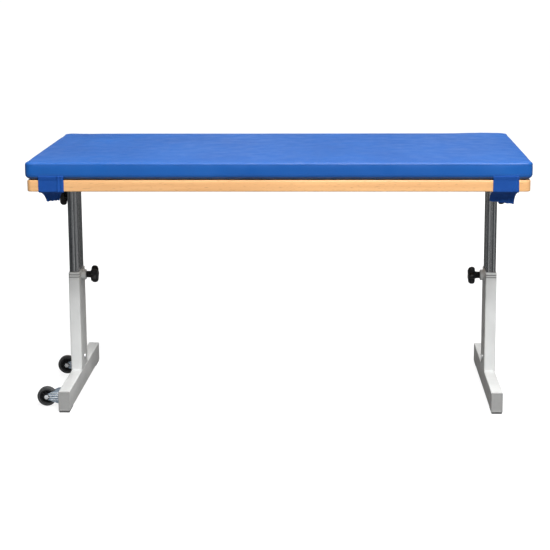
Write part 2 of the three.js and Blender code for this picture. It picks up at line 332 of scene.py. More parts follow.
def piece(name, shape, place, material, body, replaces=(), sharp=35):
    """A mesh object that rides on a body, stands for CAD nodes and has sharp edges kept."""
    points, faces = moved(shape, place)
    mesh = bpy.data.meshes.new(name)
    mesh.from_pydata([tuple(p) for p in points], [], faces)
    mesh.validate()
    tidy = bmesh.new()
    tidy.from_mesh(mesh)
    bmesh.ops.recalc_face_normals(tidy, faces=tidy.faces)
    tidy.to_mesh(mesh)
    tidy.free()
    mesh.shade_smooth()
    mesh.set_sharp_from_angle(angle=math.radians(sharp))
    mesh.materials.append(material)
    made = bpy.data.objects.new(name, mesh)
    bpy.context.scene.collection.objects.link(made)
    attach(made, body)
    if replaces:
        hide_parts(*([replaces] if isinstance(replaces, str) else replaces))
    return made


def loft(rings, wrap=False):
    """Points and faces through rings with one number of points. The ends are capped or joined."""
    count = len(rings[0])
    points = [p for ring in rings for p in ring]
    faces = []
    bands = len(rings) if wrap else len(rings) - 1
    for i in range(bands):
        a = i * count
        b = (i + 1) % len(rings) * count
        for j in range(count):
            k = (j + 1) % count
            faces.append((a + j, a + k, b + k, b + j))
    if not wrap:
        faces.append(tuple(reversed(range(count))))
        faces.append(tuple(range((len(rings) - 1) * count, len(rings) * count)))
    return points, faces


def merged(*parts):
    """Several (points, faces) as one."""
    points, faces = [], []
    for more_points, more_faces in parts:
        start = len(points)
        points += list(more_points)
        faces += [tuple(i + start for i in face) for face in more_faces]
    return points, faces


def full_turn(count):
    """Angles all the way round, in equal steps."""
    return [math.tau * i / count for i in range(count)]


def quarter(steps):
    """The angles of a quarter turn, both ends included."""
    return [math.pi / 2 * i / steps for i in range(steps + 1)]


def circle(radius, count=ROUND):
    return [(radius * math.cos(a), radius * math.sin(a)) for a in full_turn(count)]


def star(radius, lobes, depth, count, sharpness=0.5):
    """A closed outline with round lobes, deepest by depth between them."""
    outline = []
    for a in full_turn(count):
        wave = (1 + math.cos(a * lobes)) / 2
        r = radius - depth * (1 - wave ** sharpness)
        outline.append((r * math.cos(a), r * math.sin(a)))
    return outline


def rounded(width, height, radius, steps=6):
    """A rectangle's outline with rounded corners, anticlockwise."""
    outline = []
    for quarter, (sx, sy) in enumerate(((1, 1), (-1, 1), (-1, -1), (1, -1))):
        for i in range(steps + 1):
            a = math.pi / 2 * (quarter + i / steps)
            x = sx * (width / 2 - radius) + radius * math.cos(a)
            y = sy * (height / 2 - radius) + radius * math.sin(a)
            outline.append((x, y))
    return outline


def ring(outline, at, axis="Z"):
    """The outline's points in a plane across an axis, at a place on that axis."""
    turn = {
        "X": lambda u, v: Vector((at, u, v)),
        "Y": lambda u, v: Vector((-u, at, v)),
        "Z": lambda u, v: Vector((u, v, at)),
    }[axis]
    return [turn(u, v) for u, v in outline]


def moved(shape, offset):
    points, faces = shape
    offset = Vector(offset)
    return [Vector(p) + offset for p in points], faces


def flipped(shape, axis_index, direction):
    """The shape mirrored along one axis when direction is negative."""
    points, faces = shape
    if direction > 0:
        return shape
    out = []
    for p in points:
        q = Vector(p)
        q[axis_index] = -q[axis_index]
        out.append(q)
    return out, [tuple(reversed(face)) for face in faces]


def turned(profile, axis="X", count=ROUND, wrap=False):
    """A turned part from (place along the axis, radius) pairs."""
    return loft([ring(circle(max(r, 1e-5), count), at, axis) for at, r in profile], wrap)


def arc(centre, radius, start, end, steps):
    """Points (along, out) on an arc, with angles in degrees from the axis."""
    out = []
    for i in range(steps + 1):
        a = math.radians(start + (end - start) * i / steps)
        out.append((centre[0] + radius * math.cos(a), centre[1] + radius * math.sin(a)))
    return out


def tube(width, height, corner, wall, start, end, axis="Z", edge=0.5 * MM, bulge=0.0):
    """A rectangular tube between two places on an axis, its cut edges broken."""
    inner_corner = max(corner - wall, 0.8 * MM)

    def outer(inset):
        shape = rounded(width - 2 * inset, height - 2 * inset, corner - inset)
        if not bulge:
            return shape
        return [
            (
                u * (1 + bulge * (1 - (2 * v / height) ** 2)),
                v * (1 + bulge * 0.3 * (1 - (2 * u / width) ** 2)),
            )
            for u, v in shape
        ]

    inner = rounded(width - 2 * wall, height - 2 * wall, inner_corner)
    rings = [
        ring(outer(edge), start, axis),
        ring(outer(0), start + edge, axis),
        ring(outer(0), end - edge, axis),
        ring(outer(edge), end, axis),
        ring(inner, end, axis),
        ring(inner, start, axis),
    ]
    return loft(rings, wrap=True)


def eased(start, end, edge, steps):
    """(How far in, place on the axis) of the rings that round both ends of a solid."""
    curve = [(edge * (1 - math.sin(a)), edge * (1 - math.cos(a))) for a in quarter(steps)]
    return [(d, start + up) for d, up in curve] + [(d, end - up) for d, up in reversed(curve)]


def block(width, height, corner, start, end, axis="Z", edge=1 * MM):
    """A solid rounded block between two places on an axis, with rounded end edges."""
    rings = []
    for d, at in eased(start, end, edge, 3):
        outline = rounded(width - 2 * d, height - 2 * d, max(corner - d, 0.2 * MM))
        rings.append(ring(outline, at, axis))
    return loft(rings)


def weld_bead(start, end, radius, seed):
    """A rippled fillet weld along a straight line."""
    start, end = Vector(start), Vector(end)
    along = end - start
    length = along.length
    direction = along / length
    side = direction.orthogonal().normalized()
    up = direction.cross(side)
    count = max(int(length / (1.1 * MM)), 6)
    rings = []
    for i in range(count + 1):
        t = i / count
        ripple = 1 + 0.10 * math.sin(t * length / (2.6 * MM) * math.tau + seed)
        taper = min(1.0, 3.0 * min(t, 1 - t) * length / radius + 0.35)
        r = radius * ripple * taper
        centre = start + along * t
        rings.append([centre + side * u + up * v for u, v in circle(r, 12)])
    return loft(rings)


def ring_bead(centre, radius, bead, axis="X", ripples=26):
    """A rippled weld round a boss, lying in the plane across an axis."""
    rings = []
    for a in full_turn(ripples * 5):
        r = bead * (1 + 0.12 * math.sin(ripples * a))
        out = []
        for b in full_turn(10):
            spoke = radius + r * math.cos(b)
            u, v, w = spoke * math.cos(a), spoke * math.sin(a), r * math.sin(b)
            spot = {"X": (w, u, v), "Y": (u, w, v), "Z": (u, v, w)}[axis]
            out.append(Vector(centre) + Vector(spot))
        rings.append(out)
    return loft(rings, wrap=True)


# ---- stage, light and camera

def make_camera():
    """One camera in front of the table, a little right of its middle, looking down at it."""
    data = bpy.data.cameras.new("camera")
    data.sensor_width = 36
    data.lens = 103.2
    data.shift_x, data.shift_y = -0.041, -0.04
    camera = bpy.data.objects.new("camera", data)
    camera.location = (0.172, -4.970, 1.410)
    yaw, pitch, roll = 0.0239, 0.1922, -0.0036
    level = math.cos(pitch)
    forward = Vector((-math.sin(yaw) * level, math.cos(yaw) * level, -math.sin(pitch)))
    turn = forward.to_track_quat("-Z", "Y") @ Matrix.Rotation(roll, 4, "Z").to_quaternion()
    camera.rotation_mode = "QUATERNION"
    camera.rotation_quaternion = turn
    bpy.context.scene.collection.objects.link(camera)
    bpy.context.scene.camera = camera


LIT_SPOT = Vector((0, 0, 0.5))  # where every light points


def area_light(name, place, power, width, height):
    data = bpy.data.lights.new(name, "AREA")
    data.shape = "RECTANGLE"
    data.size, data.size_y = width, height
    data.energy = power
    light = bpy.data.objects.new(name, data)
    light.location = place
    light.rotation_mode = "QUATERNION"
    light.rotation_quaternion = (LIT_SPOT - Vector(place)).to_track_quat("-Z", "Y")
    bpy.context.scene.collection.objects.link(light)
    return light


def make_world():
    """Even white light. Polished parts mirror a darker room with tall bright panels round it."""
    world = bpy.data.worlds.new("studio")
    world.use_nodes = True
    w = Nodes(world.node_tree)
    way = w.node("ShaderNodeTexCoord").outputs["Generated"]
    split = w.node("ShaderNodeSeparateXYZ")
    w.join(way, split.inputs[0])
    sky = w.tree.nodes["Background"]
    w.join((0.98, 0.99, 1.0, 1), sky.inputs["Color"])
    w.join(w.spread(split.outputs["X"], -1, 1, *SKY), sky.inputs["Strength"])

    panels = w.node("ShaderNodeTexWave", bands_direction="X")
    w.join(2.2, panels.inputs["Scale"])
    w.join(1.5, panels.inputs["Distortion"])
    w.join(way, panels.inputs["Vector"])
    ramp = w.node("ShaderNodeValToRGB")
    dark, light = ramp.color_ramp.elements
    dark.position, dark.color = 0.4, (0.07, 0.075, 0.08, 1)
    light.position, light.color = 0.78, (1, 1, 1, 1)
    w.join(panels.outputs["Fac"], ramp.inputs["Fac"])
    behind = w.node("ShaderNodeVectorMath", operation="DOT_PRODUCT")
    w.join(way, behind.inputs[0])
    w.join((0, 1, -0.63), behind.inputs[1])
    room = w.node("ShaderNodeBackground")
    w.join(ramp.outputs["Color"], room.inputs["Color"])
    w.join(w.spread(behind.outputs["Value"], 0.75, 1.15, 0.7, 0.15), room.inputs["Strength"])

    white = w.node("ShaderNodeBackground")
    w.join((1, 1, 1, 1), white.inputs["Color"])
    mixed = w.seen_by("Is Glossy Ray", sky.outputs[0], room.outputs[0])
    mixed = w.seen_by("Is Camera Ray", mixed, white.outputs[0])
    w.join(mixed, w.tree.nodes["World Output"].inputs["Surface"])
    bpy.context.scene.world = world


def make_light():
    make_world()
    area_light("key", (0.8, -3.6, 4.3), 400, 2.2, 1.6)
    area_light("top", (0.3, 0.2, 4.0), 100, 4.0, 2.5)
    back = area_light("back", (0.3, 4.2, 3.0), 120, 2.5, 2.0)
    back.visible_glossy = False


def make_floor():
    """A pale floor that curves up into a backdrop far behind."""
    half, front, back, rise, bend = 60.0, -60.0, 24.0, 30.0, 8.0
    below = 0.2 * MM
    curve = [(back - bend + bend * math.sin(a), bend - bend * math.cos(a)) for a in quarter(16)]
    line = [(front, 0.0)] + curve + [(back, rise)]
    points = [(x, y, z - below) for y, z in line for x in (-half, half)]
    faces = [(2 * i, 2 * i + 1, 2 * i + 3, 2 * i + 2) for i in range(len(line) - 1)]
    mesh = bpy.data.meshes.new("floor")
    mesh.from_pydata(points, [], faces)
    mesh.shade_smooth()
    s = Surface("floor_paint", "floor", (0.2, 0.2, 0.2), 0.9, Specular_IOR_Level=0.0)
    s.colour(s.noise(1.5, 3), (0.19, 0.19, 0.19), (0.21, 0.21, 0.21))
    glow = s.node("ShaderNodeEmission")
    distance = s.node("ShaderNodeVectorMath", operation="LENGTH")
    s.join(s.place, distance.inputs[0])
    s.join(s.spread(distance.outputs["Value"], 1.5, 4.0, 0.86, 1.0), glow.inputs["Strength"])
    lit = s.node("ShaderNodeAddShader")
    s.join(s.shader.outputs[0], lit.inputs[0])
    s.join(glow.outputs[0], lit.inputs[1])
    clear = s.node("ShaderNodeBsdfTransparent")
    mixed = s.seen_by("Is Glossy Ray", s.shader.outputs[0], clear.outputs[0])
    mixed = s.seen_by("Is Camera Ray", mixed, lit.outputs[0])
    s.join(mixed, s.tree.nodes["Material Output"].inputs["Surface"])
    mesh.materials.append(s.material)
    floor = bpy.data.objects.new("floor", mesh)
    bpy.context.scene.collection.objects.link(floor)


# ---- steel frame

WALL = 2 * MM
TUBE_CORNER = 4 * MM


def upright_tube(name, node, corner, material, body, bulge=0.0):
    """A rectangular tube in place of an upright CAD node."""
    c, s = middle(node), size(node)
    shape = tube(s.x, s.y, corner, WALL, low(node).z, high(node).z, bulge=bulge)
    piece(name, shape, (c.x, c.y, 0), material, body, node)


def make_foot(side):
    """Foot tube, domed end plugs and ribbed rubber pads."""
    body = f"{side}_base"
    node = f"{side}_foot_tube"
    c, s = middle(node), size(node)
    shape = tube(s.x, s.z, 3 * MM, WALL, low(node).y, high(node).y, "Y")
    piece(f"{side}_foot", shape, (c.x, 0, c.z), PAINT, body, node)
    for end, direction in ENDS.items():
        cap = f"{side}_foot_cap_{end}"
        cs = size(cap)
        face = high(cap).y if direction > 0 else -low(cap).y
        plate = 4 * MM
        dome = [
            (face - plate, 0.0), (face - 1.6 * MM, 0.0), (face - 0.6 * MM, 0.5 * MM),
            (face, 1.8 * MM), (face, 4.0 * MM), (face - 0.5 * MM, 4.6 * MM),
            (face - 0.5 * MM, 7.0 * MM),
        ]
        rings = [
            ring(rounded(cs.x - 2 * d, cs.z - 2 * d, max(3 * MM - d, 1 * MM)), at, "Y")
            for at, d in dome
        ]
        inner_x, inner_z = cs.x - 5 * MM, cs.z - 5 * MM
        insert = block(inner_x, inner_z, 1 * MM, face - 22 * MM, face - plate, "Y", 0.6 * MM)
        plug = flipped(merged(loft(rings), insert), 1, direction)
        piece(cap + "_plug", plug, (c.x, 0, c.z), GREY_PLASTIC, body, cap)
        pad = f"{side}_foot_pad_{end}"
        pc, ps, bottom = middle(pad), size(pad), low(pad).z
        ribs = [block(ps.x, ps.y, 4 * MM, bottom + 2.2 * MM, high(pad).z, "Z", 0.8 * MM)]
        bar = block(ps.x - 2 * MM, ps.y / 11, 1.2 * MM, bottom, bottom + 3 * MM, "Z", 0.6 * MM)
        for i in range(-3, 4):
            ribs.append(moved(bar, (0, i * ps.y / 7.6, 0)))
        piece(pad + "_rubber", merged(*ribs), (pc.x, pc.y, 0), PAD_RUBBER, body, pad)


def make_outer_column(side):
    """Painted outer tube, the welds at its bottom and the guide collar at its top."""
    body, node = f"{side}_base", f"{side}_outer_tube"
    c, s = middle(node), size(node)
    upright_tube(f"{side}_outer_column", node, TUBE_CORNER, PAINT, body)
    bead = 2.6 * MM
    welds = []
    for k, direction in enumerate((-1, 1)):
        y = c.y + direction * (s.y / 2 + 0.2 * MM)
        z = low(node).z + 0.2 * MM
        reach = s.x / 2 - 3.5 * MM
        welds.append(weld_bead((c.x - reach, y, z), (c.x + reach, y, z), bead, 1.7 * k))
    piece(f"{side}_column_welds", merged(*welds), HERE, PAINT, body)
    make_collar(side, body, f"{side}_guide_collar")


GROOVES = (0.30, 0.66)  # up the collar


def make_collar(side, body, node):
    """Grooved collar with a dark ring in each groove, painted shade that darkens the grooves, and the
    liner inside it.
    """
    c, s = middle(node), size(node)
    bottom, top = low(node).z, high(node).z
    groove, half = 1.5 * MM, 1.2 * MM
    slope = 0.3 * MM
    levels = [(bottom, 0.5 * MM), (bottom + 0.5 * MM, 0)]
    # the dark rings in the grooves are painted shade: they stand for the shadow inside each groove
    groove_shade_rings = []
    for share in GROOVES:
        z = bottom + share * (top - bottom)
        under, over = z - half, z + half
        levels += [(under - slope, 0), (under, groove), (over, groove), (over + slope, 0)]
        shade_ring_x, shade_ring_y = s.x - 1.2 * MM, s.y - 1.2 * MM
        groove_shade_rings.append(tube(shade_ring_x, shade_ring_y, TUBE_CORNER, 1.6 * MM, under, over, "Z", 0.3 * MM))
    levels += [(top - 1.2 * MM, 0), (top - 0.4 * MM, 0.4 * MM), (top, 1.2 * MM)]
    rings = [ring(rounded(s.x - 2 * d, s.y - 2 * d, TUBE_CORNER - d), z) for z, d in levels]
    inner = rounded(31 * MM, 101 * MM, TUBE_CORNER)
    rings += [ring(inner, top), ring(inner, bottom)]
    piece(f"{side}_collar", loft(rings, wrap=True), (c.x, c.y, 0), PAINT, body, node)
    piece(f"{side}_collar_groove_shade_rings", merged(*groove_shade_rings), (c.x, c.y, 0), DARK_PLASTIC, body)
    start, end = top - 2 * MM, top + 1.1 * MM
    lip = tube(32.6 * MM, 102.6 * MM, TUBE_CORNER, 1.1 * MM, start, end, "Z", 0.3 * MM)
    piece(f"{side}_collar_liner", lip, (c.x, c.y, 0), GREY_PLASTIC, body)


def make_inner_column(side):
    """Chromed inner tube with faintly bulging faces, as drawn tube has."""
    node, body = f"{side}_inner_tube", f"{side}_column"
    upright_tube(f"{side}_chrome_column", node, TUBE_CORNER, CHROME, body, 0.004)


def make_boss(node, body, direction, bore):
    """A turned boss welded to a tube's side, pointing along X."""
    c, s = middle(node), size(node)
    radius = s.z / 2
    length = s.x
    edge = 1.4 * MM
    profile = [(0, bore), (0, radius), (length - edge, radius)]
    profile += arc((length - edge, radius - edge), edge, 90, 0, 5)
    profile += [(length, bore + 0.8 * MM), (length - 0.8 * MM, bore)]
    shape = turned(profile, "X", wrap=True)
    base = -length / 2
    shape = flipped(moved(shape, (base, 0, 0)), 0, direction)
    bead = ring_bead((base * direction, 0, 0), radius, 1.5 * MM)
    piece(node + "_turned", merged(shape, bead), c, PAINT, body, node)


def knob_shape(hub_length, thick):
    """A five-lobed star knob along +X: conical hub, rounded lobes, dished face with a cap."""
    radius, depth = 29 * MM, 10 * MM
    back_round, front_round = 8 * MM, 11 * MM
    count = 160
    rings = []

    def add(at, outer, starness):
        lobes = star(outer, 5, depth * outer / radius, count, 0.75)
        plain = circle(min(outer, radius - depth), count)
        mix = [
            (p[0] * starness + q[0] * (1 - starness), p[1] * starness + q[1] * (1 - starness))
            for p, q in zip(lobes, plain)
        ]
        rings.append(ring(mix, at, "X"))

    back, front = hub_length, hub_length + thick
    for at, outer in ((0, 8.5), (0, 9.6), (0.8 * MM, 10.4), (hub_length * 0.8, 11.0)):
        add(at, outer * MM, 0)
    add(back + 0.2 * MM, 13.0 * MM, 0.15)
    for a in quarter(8):
        at = back + back_round * (1 - math.cos(a)) + 0.4 * MM
        add(at, radius - back_round * (1 - math.sin(a)), 1)
    for a in reversed(quarter(8)):
        add(front - front_round * (1 - math.cos(a)), radius - front_round * (1 - math.sin(a)), 1)
    for sunk, outer, starness in (
        (0.6, 15.0, 0.6), (2.4, 12.6, 0.1), (2.6, 11.2, 0), (1.6, 10.6, 0), (1.1, 9.0, 0), (0.8, 4.0, 0),
    ):
        add(front - sunk * MM, outer * MM, starness)
    return loft(rings)


def make_knob(side, which, body, direction, hub_length):
    node = f"{side}_{which}_knob_head"
    c, s = middle(node), size(node)
    thick = s.x - hub_length
    shape = flipped(moved(knob_shape(hub_length, thick), (-s.x / 2, 0, 0)), 0, direction)
    shape = flipped(shape, 1, direction)
    piece(f"{side}_{which}_star_knob", shape, c, BLACK_PLASTIC, body, node, 50)


def hexagon(across, limit=math.inf):
    """A hexagon's outline from its width across the flats, its corners cut at a radius."""
    outline = []
    for a in full_turn(HEXAGON_POINTS):
        flat = a % (math.tau / 6) - math.tau / 12
        r = min(across / 2 / math.cos(flat), limit)
        outline.append((r * math.cos(a), r * math.sin(a)))
    return outline


def socket_screw(radius, rise):
    """A button-head screw along +X with a hexagon socket."""
    count = HEXAGON_POINTS
    rings = [ring(circle(radius, count), 0, "X"), ring(circle(radius, count), 0.5 * MM, "X")]
    for a in quarter(6)[1:]:
        r = radius - (radius * 0.42) * (1 - math.cos(a))
        rings.append(ring(circle(r, count), 0.5 * MM + (rise - 0.5 * MM) * math.sin(a), "X"))
    socket = hexagon(radius * math.cos(math.tau / 12))
    rings += [ring(socket, rise, "X"), ring(socket, rise - 1.6 * MM, "X")]
    return loft(rings)


def make_base_screw(side, direction):
    node = f"{side}_base_screw"
    c, s = middle(node), size(node)
    shape = flipped(moved(socket_screw(s.z / 2, s.x), (-s.x / 2, 0, 0)), 0, direction)
    piece(node + "_head", shape, c, STEEL, f"{side}_base", node)


def cross_screw(radius, rise):
    """A pan-head screw hanging below Z = 0 with a cross recess."""
    count = 48
    rings = [ring(circle(radius, count), 0), ring(circle(radius, count), -0.5 * MM)]
    for a in quarter(5)[1:]:
        r = radius - radius * 0.38 * (1 - math.cos(a))
        rings.append(ring(circle(r, count), -0.5 * MM - (rise - 0.5 * MM) * math.sin(a)))
    cross = star(radius * 0.5, 4, radius * 0.34, count, 3.0)
    small = [(u * 0.5, v * 0.5) for u, v in cross]
    rings += [ring(cross, -rise), ring(small, -rise + 1.6 * MM)]
    return loft(rings)


def make_top_mount(side):
    """Screwed plate under the board and the stub welded to it."""
    node = f"{side}_mount_plate"
    c, s = middle(node), size(node)
    shape = block(s.x, s.y, 12 * MM, low(node).z, high(node).z, "Z", 0.8 * MM)
    piece(f"{side}_plate", shape, (c.x, c.y, 0), PAINT, "table_top", node)
    upright_tube(f"{side}_stub_tube", f"{side}_stub", 2 * MM, ZINC, "table_top")
    for row in "abcd":
        screw = f"{side}_plate_screw_{row}"
        p = middle(screw)
        shape = cross_screw(size(screw).x / 2, size(screw).z)
        piece(screw + "_head", shape, (p.x, p.y, high(screw).z), ZINC, "table_top", screw)


# ---- wheels

def make_wheel(which):
    """Grooved tyre and ribbed hub, then the axle bolt and the fork."""
    body = f"{which}_wheel"
    tyre, hub = f"{which}_wheel_tyre", f"{which}_wheel_hub"
    c = middle(tyre)
    radius, half = size(tyre).z / 2, size(tyre).y / 2
    rim = size(hub).z / 2
    profile = [(-half, rim + 0.2 * MM), (-half, radius - 4.5 * MM)]
    profile += arc((-half + 3.2 * MM, radius - 3.2 * MM), 3.2 * MM, 180, 90, 6)
    for groove in (-3.4, 0, 3.4):
        for aside, deep in ((-0.7, 0.05), (-0.4, 0.7), (0.4, 0.7), (0.7, 0.05)):
            profile.append(((groove + aside) * MM, radius - deep * MM))
    profile += arc((half - 3.2 * MM, radius - 3.2 * MM), 3.2 * MM, 90, 0, 6)
    profile += [(half, radius - 4.5 * MM), (half, rim + 0.2 * MM)]
    piece(tyre + "_ring", turned(profile, "Y", 96, True), c, TYRE_RUBBER, body, tyre)
    bore = 4.35 * MM
    web = 3.4 * MM
    face = [
        (half, rim), (half, rim - 2.6 * MM), (half - 0.8 * MM, rim - 3.4 * MM),
        (web, rim - 4.4 * MM), (web, 10.5 * MM), (half - 1.4 * MM, 9.4 * MM),
        (half - 0.4 * MM, 8.6 * MM), (half - 0.4 * MM, bore),
    ]
    profile = face + [(-at, r) for at, r in reversed(face)]
    shapes = [turned(profile, "Y", 72, True)]
    for a in full_turn(10):
        rib = block(8.4 * MM, 1.8 * MM, 0.6 * MM, -half + 1.6 * MM, half - 1.6 * MM, "Y", 0.4 * MM)
        points, quads = moved(rib, (-14.2 * MM, 0, 0))
        turn = Matrix.Rotation(a, 4, "Y")
        shapes.append(([turn @ p for p in points], quads))
    piece(hub + "_moulding", merged(*shapes), c, BLACK_PLASTIC, body, hub)
    make_axle(which, c)
    make_fork(which)


def hexagon_shape(across, start, end, axis="Y"):
    """A hexagon nut or bolt head with chamfered corners, along an axis."""
    chamfer = 0.16 * (end - start)
    full, cut = hexagon(across), hexagon(across, across / 2 * 0.97)
    levels = ((cut, start), (full, start + chamfer), (full, end - chamfer), (cut, end))
    return loft([ring(outline, at, axis) for outline, at in levels])


def make_axle(which, c):
    node = f"{which}_wheel_axle"
    front, back = low(node).y - c.y, high(node).y - c.y
    washer, dark_disc_thickness = 0.9 * MM, 1.1 * MM
    near, far = front + 4 * MM, back - 4 * MM  # where the bolt's head and its nut begin

    def disc(start, end, radius, count=40):
        return turned([(start, radius), (end, radius)], "Y", count)

    shapes = [
        disc(near, far, 4 * MM),
        hexagon_shape(12.5 * MM, front, near - washer),
        disc(near - washer, near, 7 * MM),
        disc(far, far + washer, 7 * MM),
        hexagon_shape(12.5 * MM, far + washer, back - 0.4 * MM),
        turned([(back - 0.4 * MM, 3.7 * MM), (back, 3.3 * MM)], "Y", 40),
    ]
    piece(node + "_bolt", merged(*shapes), c, STEEL, "left_base", node)
    # black discs under the bolt's head and nut, which darken the tip of each fork arm
    dark_discs = [disc(near - dark_disc_thickness, near, 9.5 * MM, 48), disc(far, far + dark_disc_thickness, 9.5 * MM, 48)]
    piece(node + "_guards", merged(*dark_discs), c, BLACK_PLASTIC, "left_base")


def make_fork(which):
    """Keeps the fork's own solid and breaks its edges, and adds the bolts that hold it."""
    node = f"{which}_wheel_fork"
    finish_cad_node(node, ZINC, 0.5 * MM, 40)
    c = middle(node)
    ribs = []
    for face, outward in ((low(node).y, -1), (high(node).y, 1)):
        for dz, start in ((-10.8, 20), (-3.6, 14), (3.6, 14), (10.8, 20)):
            length = size(node).x - start * MM - 3 * MM
            rib = block(3.2 * MM, 2.2 * MM, 1 * MM, -length / 2, length / 2, "X", 1 * MM)
            middle_x = low(node).x + start * MM + length / 2
            ribs.append(moved(rib, (middle_x, face + outward * 0.5 * MM, c.z + dz * MM)))
    piece(node + "_ribs", merged(*ribs), HERE, STEEL, "left_base")
    x = high(node).x - 3.2 * MM
    for k, dz in enumerate((-13 * MM, 13 * MM)):
        bolt = turned([(0, 5.5 * MM), (-0.8 * MM, 5.5 * MM)], "X", 40)
        head = hexagon_shape(8 * MM, -3.6 * MM, -0.8 * MM, "X")
        place = (x + 0.6 * MM, c.y, c.z + dz)
        piece(f"{node}_bolt_{k}", merged(bolt, head), place, ZINC, "left_base")


# ---- board

def make_board():
    """Veneered panel in a solid beech frame with rounded edges."""
    node = "board"
    c, s = middle(node), size(node)
    bottom, top = low(node).z, high(node).z
    band = 22 * MM
    outer_corner = 14 * MM
    edge = 3 * MM

    def shape(inset):
        radius = max(outer_corner - inset, 0.6 * MM)
        return rounded(s.x - 2 * inset, s.y - 2 * inset, radius, 10)

    rings = [ring(shape(d), z) for d, z in eased(bottom, top, edge, 4)]
    rings += [ring(shape(band), top), ring(shape(band), bottom)]
    piece("board_lipping", loft(rings, wrap=True), (c.x, c.y, 0), LIPPING, "table_top", node)
    gap = 2 * band + 0.5 * MM
    sunk = 0.15 * MM
    panel = block(s.x - gap, s.y - gap, 0.8 * MM, bottom + sunk, top - sunk, "Z", 0.3 * MM)
    piece("board_panel", panel, (c.x, c.y, 0), PANEL, "table_top")


# ---- cushion

TOP_EDGE = (9 * MM, 9 * MM)  # how far the upper edge's rounding reaches in, and down
BOTTOM_EDGE = (17 * MM, 13 * MM)  # the lower edge's, in and up
BEND = (2.0, 1.6)  # how the two edges are rounded: 2 is an ellipse, 1 would be a flat chamfer
CUSHION_CORNER = 20 * MM
SEAM_DROP = 8 * MM  # the upper seam, below the cushion's top
SEAM_RISE = 14 * MM  # the lower seam, above its bottom


def spaced_out(half, cell, fine):
    """Places from -half to half, close together near both ends."""
    inner = half - sum(fine)
    count = max(2, round(2 * inner / cell))
    middle_part = [-inner + 2 * inner * i / count for i in range(count + 1)]
    left, at = [], -half
    for step in fine:
        left.append(at)
        at += step
    return left + middle_part + [-x for x in reversed(left)]


def cushion_grid(half):
    """Points and faces of a closed box of cells, centred on its middle."""
    fine = [3 * MM, 3 * MM, 3 * MM, 4 * MM, 6 * MM]
    xs = spaced_out(half.x, 10.5 * MM, fine)
    ys = spaced_out(half.y, 10.5 * MM, fine)
    zs = spaced_out(half.z, 6 * MM, [2.6 * MM] * 4)
    nx, ny, nz = len(xs), len(ys), len(zs)
    index, points = {}, []

    def vertex(key):
        if key not in index:
            index[key] = len(points)
            points.append(Vector((xs[key[0]], ys[key[1]], zs[key[2]])))
        return index[key]

    def cell(start, *way):
        """A face that starts at a corner and goes round it by one step after another."""
        corners = [start] + [tuple(a + b for a, b in zip(start, step)) for step in way]
        return tuple(vertex(corner) for corner in corners)

    faces = []
    for i in range(nx - 1):
        for j in range(ny - 1):
            faces += [cell((i, j, k), (1, 0, 0), (1, 1, 0), (0, 1, 0)) for k in (0, nz - 1)]
    for k in range(nz - 1):
        for i in range(nx - 1):
            faces += [cell((i, j, k), (1, 0, 0), (1, 0, 1), (0, 0, 1)) for j in (0, ny - 1)]
        for j in range(ny - 1):
            faces += [cell((i, j, k), (0, 1, 0), (0, 1, 1), (0, 0, 1)) for i in (0, nx - 1)]
    return points, faces


def rounded_box_point(p, half):
    """Moves a point of a box onto the same box with round corners and edges."""
    x, y, z = p
    corner_x, corner_y = half.x - CUSHION_CORNER, half.y - CUSHION_CORNER
    dx, dy = abs(x) - corner_x, abs(y) - corner_y
    if dx > 0 and dy > 0:
        scale = max(dx, dy) / math.hypot(dx, dy)
        x = math.copysign(corner_x + dx * scale, x)
        y = math.copysign(corner_y + dy * scale, y)
    reach, rise = TOP_EDGE if z > 0 else BOTTOM_EDGE
    power = BEND[0] if z > 0 else BEND[1]
    qx, qy = max(abs(x) - corner_x, 0), max(abs(y) - corner_y, 0)
    if qx > 0 and qy > 0:
        way = Vector((math.copysign(qx, x), math.copysign(qy, y))).normalized()
        overhang = math.hypot(qx, qy) - (CUSHION_CORNER - reach)
    elif abs(x) - half.x > abs(y) - half.y:
        way = Vector((math.copysign(1, x), 0))
        overhang = abs(x) - (half.x - reach)
    else:
        way = Vector((0, math.copysign(1, y)))
        overhang = abs(y) - (half.y - reach)
    drop = abs(z) - (half.z - rise)
    if overhang > 0 and drop > 0:
        length = ((overhang / reach) ** power + (drop / rise) ** power) ** (1 / power)
        pull = overhang - overhang / length
        x -= way.x * pull
        y -= way.y * pull
        z = math.copysign(half.z - rise + drop / length, z)
    return Vector((x, y, z))


COVER_CLOTH = {
    "quality": 6, "mass": 0.4, "tension_stiffness": 18, "compression_stiffness": 18,
    "shear_stiffness": 8, "bending_stiffness": 1.2, "use_pressure": True,
    "uniform_pressure_force": 4.0, "vertex_group_mass": "resting", "pin_stiffness": 1.0,
}
SWELL_FRAMES = 20


def swell(cushion, half, cap):
    """Inflates the cushion's cover with a cloth simulation, then limits how far each point went."""
    before = [v.co.copy() for v in cushion.data.vertices]
    pinned = cushion.vertex_groups.new(name="resting")
    seams = (half.z - SEAM_DROP, SEAM_RISE - half.z)
    for v in cushion.data.vertices:
        if v.co.z < -half.z + 0.5 * MM:
            pinned.add([v.index], 1.0, "REPLACE")
        elif any(abs(v.co.z - seam) < 2 * MM for seam in seams):
            pinned.add([v.index], 0.25, "REPLACE")
    cloth = cushion.modifiers.new("cover", "CLOTH")
    for key, value in COVER_CLOTH.items():
        setattr(cloth.settings, key, value)
    cloth.settings.effector_weights.gravity = 0
    scene = bpy.context.scene
    for step in range(1, SWELL_FRAMES + 1):
        scene.frame_set(step)
    shown = cushion.evaluated_get(bpy.context.evaluated_depsgraph_get())
    after = [v.co.copy() for v in shown.data.vertices]
    cushion.modifiers.remove(cloth)
    scene.frame_set(1)
    for v, start, end in zip(cushion.data.vertices, before, after):
        step = end - start
        if step.length > cap:
            step *= cap / step.length
        v.co = start + step


